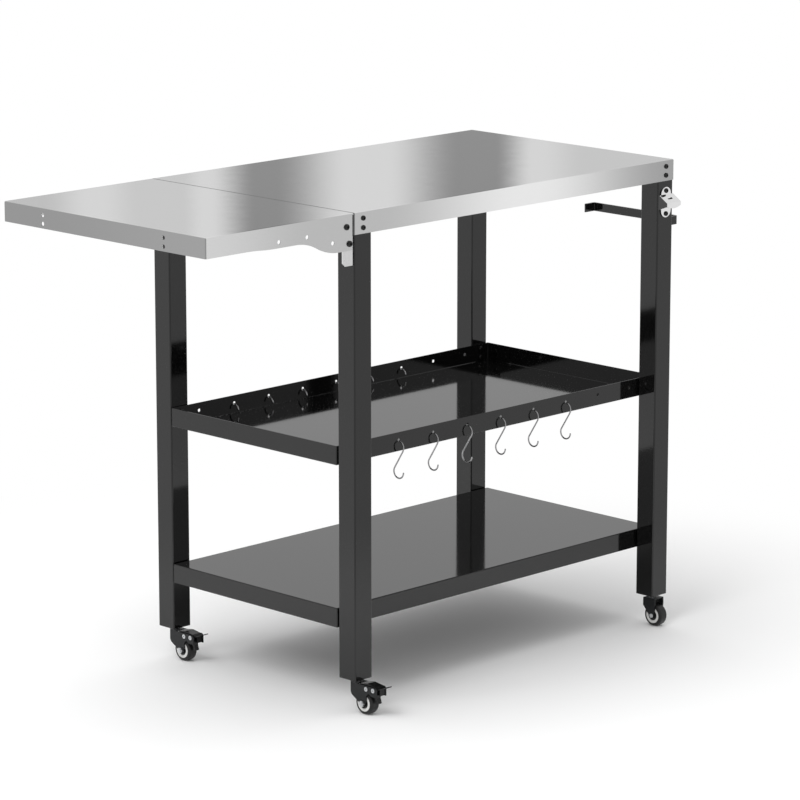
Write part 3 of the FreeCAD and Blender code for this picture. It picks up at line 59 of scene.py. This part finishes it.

# Folds of the stainless sheet: a painted reflection makes the front brighten and fade along the length
STEEL_PLAIN = 0.60
LEFT_PAINTED_GLOW = (-0.58, -0.34, 0.18, 0.0)
MIDDLE_PAINTED_GLOW = (-0.20, 0.16, 0.0, 0.40)
RIGHT_PAINTED_FADE = (0.19, 0.54, 0.0, 0.56)
# Painted shade: the end folds are darker than the front folds, and fade across the depth
END_FOLD_PAINTED_SHADE = 0.34
END_FOLD_PAINTED_SHADE_FADE = (-0.22, 0.22, END_FOLD_PAINTED_SHADE * 1.06, END_FOLD_PAINTED_SHADE * 0.92)
FACING_UP = (0.55, 0.98)
FACING_SIDE = (0.15, 0.5)

# Shadow in the seam between the worktops
SEAM = -0.248
SEAM_FADE = (0.0009, 0.0022, 0.8, 0.0)
SEAM_SHADOW = 0.10

# Brushing of the stainless sheet
BRUSH_SCALE = 40.0
BRUSH_STRETCH = (0.6, 60.0, 60.0)
BRUSH_GREY = 0.30
BRUSH_SHARE = 0.04
BRUSH_BUMP = (0.010, 0.0003)
STEEL_ROUGHNESS = (0.24, 0.29)
EDGE_TINT = 0.9

# Black powder coat
BLACK = 0.004
PEEL_SCALE = 420.0
PEEL_BUMP = (0.02, 0.0002)
CLOUD_SCALE = 6.0
POWDER_ROUGHNESS = (0.055, 0.085)

# Chromed opener: a painted reflection darkens its sides and undersides
OPENER_GRAIN = 350.0
OPENER_BRIGHT = (0.84, 0.92)
OPENER_PAINTED_REFLECTION = 0.07
OPENER_SIDES = (0.55, 0.9)
OPENER_UNDERSIDES = (0.35, 0.7)
OPENER_ROUGHNESS = (0.05, 0.10)

# Wheel core: the ring starts at a share of the core's radius
HUB_RING = (0.652, 0.664)
HUB_BLACK = 0.012
HUB_LIGHT = (0.60, 0.70)
HUB_TINT = (1.0, 1.0, 0.98)
HUB_GRAIN = 900.0
HUB_ROUGHNESS = (0.26, 0.38)
HUB_BUMP = (0.15, 0.00005)

# Bare or plated metal: brightness, tint, lowest and highest roughness, scale of the grain
PLATED_BUMP = (0.03, 0.0002)
PLATED = {
    "zinc": (0.62, (0.98, 1.0, 1.02), 0.26, 0.40, 500.0),
    "bracket_steel": (0.72, (1.0, 1.0, 1.0), 0.24, 0.34, 260.0),
    "chrome_wire": (0.34, (1.0, 1.0, 1.01), 0.04, 0.10, 350.0),
}

# Black plastic, rubber or oxide: the same, then the depth of the grain and the refractive index
GRAIN_STRENGTH = 0.25
PAINTED_BLACK = {
    "black_fastener": (0.006, (1.0, 1.0, 1.0), 0.22, 0.32, 900.0, 0.00004, 1.40),
    "black_plug": (0.016, (1.0, 1.0, 1.0), 0.40, 0.55, 1000.0, 0.00008, 1.50),
    "caster_yoke": (0.009, (0.90, 1.0, 1.08), 0.16, 0.26, 700.0, 0.00005, 1.36),
    "tyre_rubber": (0.009, (1.0, 1.0, 1.0), 0.30, 0.42, 800.0, 0.00008, 1.40),
    "pedal_plastic": (0.004, (1.0, 1.0, 1.0), 0.20, 0.30, 1100.0, 0.00006, 1.36),
}

# Studio: a reflected gradient that is lighter to the left back, the right front and above
STUDIO_LEVEL = 0.74
LEFT_BACK = (-0.70, 0.70, 0.0)
RIGHT_FRONT = (0.70, -0.70, 0.0)
STUDIO_LEFT = (0.35, 0.95, 0.0, 0.26)
STUDIO_RIGHT = (0.60, 0.95, 0.0, 0.08)
STUDIO_ABOVE = (0.3, 0.8, 0.0, 0.06)
EVEN_LIGHT = 0.74

# Floor: it turns white between two distances from the middle
FLOOR_HALF = 14.0
FLOOR_DROP = 0.0002
FLOOR_COLOUR = 0.94
FLOOR_NEAR = 0.70
FLOOR_FAR = 1.40

# Lamps: name, place and power
LAMPS = (("key_light", (-2.4, -0.3, 3.1), 66.0), ("top_light", (0.3, 0.3, 3.4), 28.0))
LAMP_SIZE = 2.4
LAMP_AIM = (0.0, 0.0, 0.45)


class Nodes:
    """A small helper to build a node tree in reading order."""

    def __init__(self, tree):
        self.tree = tree
        tree.nodes.clear()

    def add(self, kind, **settings):
        node = self.tree.nodes.new(kind)
        for name, value in settings.items():
            setattr(node, name, value)
        return node

    def link(self, source, target):
        self.tree.links.new(source, target)

    def feed(self, socket, value):
        """Link a socket, or set a plain value on it."""
        if isinstance(value, bpy.types.NodeSocket):
            self.link(value, socket)
        else:
            socket.default_value = value

    def math(self, operation, first, second=0.0, clamp=False):
        node = self.add("ShaderNodeMath", operation=operation, use_clamp=clamp)
        self.feed(node.inputs[0], first)
        self.feed(node.inputs[1], second)
        return node.outputs[0]

    def total(self, *values, clamp=False):
        """Add values up from left to right."""
        result = values[0]
        for value in values[1:-1]:
            result = self.math("ADD", result, value)
        return self.math("ADD", result, values[-1], clamp=clamp)

    def vector(self, operation, vector, other=None):
        node = self.add("ShaderNodeVectorMath", operation=operation)
        self.link(vector, node.inputs[0])
        if other is not None:
            node.inputs[1].default_value = other
        return node

    def dot(self, vector, direction):
        return self.vector("DOT_PRODUCT", vector, direction).outputs["Value"]

    def length(self, vector):
        return self.vector("LENGTH", vector).outputs["Value"]

    def smooth(self, value, low, high, out_low=0.0, out_high=1.0):
        node = self.add("ShaderNodeMapRange", interpolation_type="SMOOTHSTEP")
        self.feed(node.inputs["Value"], value)
        node.inputs["From Min"].default_value = low
        node.inputs["From Max"].default_value = high
        node.inputs["To Min"].default_value = out_low
        node.inputs["To Max"].default_value = out_high
        return node.outputs["Result"]

    def band(self, value, start, full, still_full, end):
        """One between full and still_full, and nothing before start and after end."""
        return self.math("SUBTRACT", self.smooth(value, start, full), self.smooth(value, still_full, end))

    def spread(self, value, out_low, out_high):
        """Spread a value from 0 to 1 over another range."""
        node = self.add("ShaderNodeMapRange")
        self.feed(node.inputs["Value"], value)
        node.inputs["To Min"].default_value = out_low
        node.inputs["To Max"].default_value = out_high
        return node.outputs["Result"]

    def mix_colour(self, share, first, second):
        node = self.add("ShaderNodeMix", data_type="RGBA")
        self.feed(node.inputs["Factor"], share)
        self.feed(node.inputs["A"], first)
        self.feed(node.inputs["B"], second)
        return node.outputs["Result"]

    def mix_shader(self, share, first, second):
        node = self.add("ShaderNodeMixShader")
        for socket, source in zip(node.inputs, (share, first, second)):
            self.link(source, socket)
        return node.outputs[0]

    def noise(self, vector, scale, detail=3.0, roughness=0.5, stretch=None):
        if stretch:
            mapping = self.add("ShaderNodeMapping")
            self.link(vector, mapping.inputs["Vector"])
            mapping.inputs["Scale"].default_value = stretch
            vector = mapping.outputs["Vector"]
        node = self.add("ShaderNodeTexNoise")
        self.link(vector, node.inputs["Vector"])
        node.inputs["Scale"].default_value = scale
        node.inputs["Detail"].default_value = detail
        node.inputs["Roughness"].default_value = roughness
        return node.outputs["Fac"]

    def bump(self, height, strength, distance):
        node = self.add("ShaderNodeBump")
        node.inputs["Strength"].default_value = strength
        node.inputs["Distance"].default_value = distance
        self.link(height, node.inputs["Height"])
        return node.outputs["Normal"]


def grey(value, tint=(1.0, 1.0, 1.0)):
    return (value * tint[0], value * tint[1], value * tint[2], 1.0)


def new_material(name):
    material = bpy.data.materials.new(name + "_finish")
    material.use_nodes = True
    return material, Nodes(material.node_tree)


def surface(nodes, colour, roughness, metallic=0.0, normal=None, ior=1.5):
    """The shader of a surface. Linked sockets vary over the surface, plain ones are the same all over."""
    shader = nodes.add("ShaderNodeBsdfPrincipled")
    nodes.feed(shader.inputs["Base Color"], colour)
    nodes.feed(shader.inputs["Roughness"], roughness)
    shader.inputs["Metallic"].default_value = metallic
    shader.inputs["IOR"].default_value = ior
    if normal is not None:
        nodes.link(normal, shader.inputs["Normal"])
    output = nodes.add("ShaderNodeOutputMaterial")
    nodes.link(shader.outputs["BSDF"], output.inputs["Surface"])
    return shader


def painted_sheen_of_top(nodes, position):
    """Painted reflection of the worktops seen from above: soft grey bands across bright steel."""
    across = nodes.dot(position, (math.cos(CAMERA_YAW), -math.sin(CAMERA_YAW), 0.0))
    along = nodes.dot(position, (math.sin(CAMERA_YAW), math.cos(CAMERA_YAW), 0.0))
    fan = nodes.math("ADD", 1.0, nodes.math("DIVIDE", along, PAINTED_SHEEN_FAN))
    place = nodes.math("DIVIDE", nodes.math("SUBTRACT", across, PAINTED_SHEEN_MIDDLE), fan)
    ripple = nodes.noise(position, RIPPLE_SCALE, detail=2.0, stretch=RIPPLE_STRETCH)
    place = nodes.math("ADD", place, nodes.spread(ripple, -RIPPLE_REACH, RIPPLE_REACH))
    # Painted reflection: grey bands and fainter tones put into the colour of the steel
    bands = [nodes.band(place, *places) for places in PAINTED_SHEEN_BANDS]
    faint = nodes.math("MULTIPLY", nodes.band(place, *FAINT_PAINTED_BAND), FAINT_PAINTED_BAND_DARK)
    tones = nodes.total(nodes.smooth(place, *RIGHT_PAINTED_TONE), nodes.smooth(place, *LEFT_PAINTED_TONE), faint)
    painted_dark = nodes.total(*bands, tones, clamp=True)
    return nodes.mix_colour(painted_dark, grey(PAINTED_SHEEN_BRIGHT), grey(PAINTED_SHEEN_DARK))


def painted_sheen_of_front(nodes, length):
    # Painted reflection: the front lighter and dimmer along the length
    painted_glow = nodes.total(STEEL_PLAIN, nodes.smooth(length, *LEFT_PAINTED_GLOW), nodes.smooth(length, *MIDDLE_PAINTED_GLOW))
    return nodes.math("SUBTRACT", painted_glow, nodes.smooth(length, *RIGHT_PAINTED_FADE), clamp=True)


def stainless(name):
    """Satin stainless sheet with fine brushing along its length, painted reflection bands on top, a
    painted reflection and painted shade on the front and end folds, and a painted shadow in the seam.
    """
    material, nodes = new_material(name)
    coordinates = nodes.add("ShaderNodeTexCoord")
    position = coordinates.outputs["Object"]
    normal = coordinates.outputs["Normal"]
    brush = nodes.noise(position, BRUSH_SCALE, detail=6.0, roughness=0.65, stretch=BRUSH_STRETCH)
    length = nodes.dot(position, LENGTHWISE)
    # Painted shade of the end folds, a little lighter toward the front
    painted_end_shade = nodes.smooth(nodes.dot(position, DEPTHWISE), *END_FOLD_PAINTED_SHADE_FADE)
    facing_up = nodes.smooth(nodes.dot(normal, UPWARD), *FACING_UP)
    facing_side = nodes.smooth(nodes.math("ABSOLUTE", nodes.dot(normal, LENGTHWISE)), *FACING_SIDE)
    folds = nodes.mix_colour(facing_side, painted_sheen_of_front(nodes, length), painted_end_shade)
    # Painted reflection on top over the folds' painted reflection and shade, then a painted shadow in the
    # seam
    painted_light = nodes.mix_colour(facing_up, folds, painted_sheen_of_top(nodes, position))
    beside_seam = nodes.math("ABSOLUTE", nodes.math("SUBTRACT", length, SEAM))
    painted_light = nodes.mix_colour(nodes.smooth(beside_seam, *SEAM_FADE), painted_light, grey(SEAM_SHADOW))
    brushed_painted_light = nodes.mix_colour(nodes.spread(brush, 0.0, BRUSH_SHARE), painted_light, grey(BRUSH_GREY))
    roughness = nodes.spread(brush, *STEEL_ROUGHNESS)
    shader = surface(nodes, brushed_painted_light, roughness, metallic=1.0, normal=nodes.bump(brush, *BRUSH_BUMP))
    shader.inputs["Specular Tint"].default_value = grey(EDGE_TINT)
    return material


def black_powder_coat(name):
    """Glossy black paint with a very faint orange peel."""
    material, nodes = new_material(name)
    position = nodes.add("ShaderNodeTexCoord").outputs["Object"]
    peel = nodes.noise(position, PEEL_SCALE, detail=2.0)
    cloud = nodes.noise(position, CLOUD_SCALE)
    colour = nodes.mix_colour(cloud, grey(BLACK * 0.8), grey(BLACK * 1.2))
    surface(nodes, colour, nodes.spread(cloud, *POWDER_ROUGHNESS), normal=nodes.bump(peel, *PEEL_BUMP))
    return material


def polished_opener(name):
    """Chromed sheet whose sides and undersides carry a painted reflection of the black post behind them.
    """
    material, nodes = new_material(name)
    coordinates = nodes.add("ShaderNodeTexCoord")
    fine = nodes.noise(coordinates.outputs["Object"], OPENER_GRAIN, detail=4.0)
    normal = coordinates.outputs["Normal"]
    sideways = nodes.smooth(nodes.math("ABSOLUTE", nodes.dot(normal, LENGTHWISE)), *OPENER_SIDES)
    downward = nodes.smooth(nodes.dot(normal, DOWNWARD), *OPENER_UNDERSIDES)
    # Painted reflection: the sides and undersides turn dark
    painted_dark = nodes.math("MAXIMUM", sideways, downward)
    bright = nodes.mix_colour(fine, *(grey(value) for value in OPENER_BRIGHT))
    colour = nodes.mix_colour(painted_dark, bright, grey(OPENER_PAINTED_REFLECTION))
    surface(nodes, colour, nodes.spread(fine, *OPENER_ROUGHNESS), metallic=1.0)
    return material


def hub(name):
    """Wheel core: a light grey plastic ring round a black recessed middle."""
    material, nodes = new_material(name)
    coordinates = nodes.add("ShaderNodeTexCoord")
    centred = nodes.vector("SUBTRACT", coordinates.outputs["Generated"], (0.5, 0.5, 0.5))
    flat = nodes.vector("MULTIPLY", centred.outputs["Vector"], (0.0, 2.0, 2.0))
    ring = nodes.smooth(nodes.length(flat.outputs["Vector"]), *HUB_RING)
    fine = nodes.noise(coordinates.outputs["Object"], HUB_GRAIN)
    light = nodes.mix_colour(fine, *(grey(value, HUB_TINT) for value in HUB_LIGHT))
    colour = nodes.mix_colour(ring, grey(HUB_BLACK), light)
    surface(nodes, colour, nodes.spread(fine, *HUB_ROUGHNESS), normal=nodes.bump(fine, *HUB_BUMP))
    return material


def plated(name, value, tint, low, high, grain):
    """Bare or plated metal with a faint uneven polish."""
    material, nodes = new_material(name)
    position = nodes.add("ShaderNodeTexCoord").outputs["Object"]
    fine = nodes.noise(position, grain, detail=4.0)
    colour = nodes.mix_colour(fine, grey(value * 0.92, tint), grey(value * 1.06, tint))
    roughness = nodes.spread(fine, low, high)
    surface(nodes, colour, roughness, metallic=1.0, normal=nodes.bump(fine, *PLATED_BUMP))
    return material


def painted_black(name, value, tint, low, high, grain, depth, ior):
    """Black plastic, rubber or oxide with its own fine grain."""
    material, nodes = new_material(name)
    position = nodes.add("ShaderNodeTexCoord").outputs["Object"]
    fine = nodes.noise(position, grain)
    colour = nodes.mix_colour(fine, grey(value * 0.75, tint), grey(value * 1.25, tint))
    normal = nodes.bump(fine, GRAIN_STRENGTH, depth)
    surface(nodes, colour, nodes.spread(fine, low, high), normal=normal, ior=ior)
    return material


def finish_nodes():
    """Put each material in the slots that the CAD parts name."""
    finishes = {
        "stainless": stainless("stainless"),
        "black_powder_coat": black_powder_coat("black_powder_coat"),
        "chrome_steel": polished_opener("chrome_steel"),
        "hub": hub("hub"),
    }
    for slot, look in PLATED.items():
        finishes[slot] = plated(slot, *look)
    for slot, look in PAINTED_BLACK.items():
        finishes[slot] = painted_black(slot, *look)
    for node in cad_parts.values():
        for place in node.material_slots:
            place.material = finishes[place.material.name.split(".")[0]]


def make_camera():
    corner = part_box("main_top")[0]
    camera = bpy.data.objects.new("camera", bpy.data.cameras.new("camera"))
    bpy.context.scene.collection.objects.link(camera)
    camera.data.sensor_width = SENSOR_WIDTH
    camera.data.lens = CAMERA_LENS
    camera.location = Vector((corner.x, corner.y, 0.0)) + Vector(CAMERA_FROM_CORNER)
    camera.rotation_euler = (math.pi / 2 - CAMERA_PITCH, 0.0, -CAMERA_YAW)
    camera.data.clip_start = CLIP_NEAR
    camera.data.clip_end = CLIP_FAR
    bpy.context.scene.camera = camera


def make_world():
    """White for the camera, a soft studio gradient for reflections and even light for the rest."""
    world = bpy.data.worlds.new("studio")
    world.use_nodes = True
    bpy.context.scene.world = world
    nodes = Nodes(world.node_tree)
    direction = nodes.add("ShaderNodeTexCoord").outputs["Generated"]
    path = nodes.add("ShaderNodeLightPath")
    left = nodes.smooth(nodes.dot(direction, LEFT_BACK), *STUDIO_LEFT)
    right = nodes.smooth(nodes.dot(direction, RIGHT_FRONT), *STUDIO_RIGHT)
    above = nodes.smooth(nodes.dot(direction, UPWARD), *STUDIO_ABOVE)
    studio = nodes.total(STUDIO_LEVEL, left, right, above)
    reflected = nodes.math("MAXIMUM", path.outputs["Is Glossy Ray"], path.outputs["Is Transmission Ray"])
    unseen = nodes.mix_colour(reflected, grey(EVEN_LIGHT), studio)
    colour = nodes.mix_colour(path.outputs["Is Camera Ray"], unseen, grey(1.0))
    background = nodes.add("ShaderNodeBackground")
    nodes.link(colour, background.inputs["Color"])
    background.inputs["Strength"].default_value = 1.0
    output = nodes.add("ShaderNodeOutputWorld")
    nodes.link(background.outputs["Background"], output.inputs["Surface"])


def floor_material():
    """Matt near the table, plain white far from it, and clear in reflections and from below."""
    material, nodes = new_material("floor")
    distance = nodes.length(nodes.add("ShaderNodeTexCoord").outputs["Object"])
    far = nodes.smooth(distance, FLOOR_NEAR, FLOOR_FAR)
    path = nodes.add("ShaderNodeLightPath")
    geometry = nodes.add("ShaderNodeNewGeometry")
    matt = nodes.add("ShaderNodeBsdfDiffuse")
    matt.inputs["Color"].default_value = grey(FLOOR_COLOUR)
    white = nodes.add("ShaderNodeEmission")
    white.inputs["Color"].default_value = grey(1.0)
    clear = nodes.add("ShaderNodeBsdfTransparent")
    seen_far = nodes.math("MULTIPLY", far, path.outputs["Is Camera Ray"])
    seen = nodes.mix_shader(seen_far, matt.outputs[0], white.outputs[0])
    mirrored = nodes.math("MULTIPLY", far, path.outputs["Is Glossy Ray"])
    hidden = nodes.math("MAXIMUM", mirrored, geometry.outputs["Backfacing"])
    output = nodes.add("ShaderNodeOutputMaterial")
    nodes.link(nodes.mix_shader(hidden, seen, clear.outputs[0]), output.inputs["Surface"])
    return material


def make_floor():
    """A plain pale floor that keeps the table's shadow and fades into the white background."""
    mesh = bpy.data.meshes.new("floor")
    signs = ((-1, -1), (1, -1), (1, 1), (-1, 1))
    corners = [(x * FLOOR_HALF, y * FLOOR_HALF, 0.0) for x, y in signs]
    mesh.from_pydata(corners, [], [(0, 1, 2, 3)])
    floor = bpy.data.objects.new("floor", mesh)
    bpy.context.scene.collection.objects.link(floor)
    floor.location = (0.0, 0.0, -FLOOR_DROP)
    mesh.materials.append(floor_material())


def make_lights():
    """Square lamps that look at the middle of the table."""
    for name, place, power in LAMPS:
        lamp = bpy.data.lights.new(name, "AREA")
        lamp.shape = "SQUARE"
        lamp.size = LAMP_SIZE
        lamp.energy = power
        light = bpy.data.objects.new(name, lamp)
        bpy.context.scene.collection.objects.link(light)
        light.location = place
        light.visible_glossy = False
        aim = Vector(LAMP_AIM) - Vector(place)
        light.rotation_mode = "QUATERNION"
        light.rotation_quaternion = aim.to_track_quat("-Z", "Y")


finish_nodes()
make_camera()
make_world()
make_floor()
make_lights()
bpy.context.scene.view_settings.view_transform = "Standard"
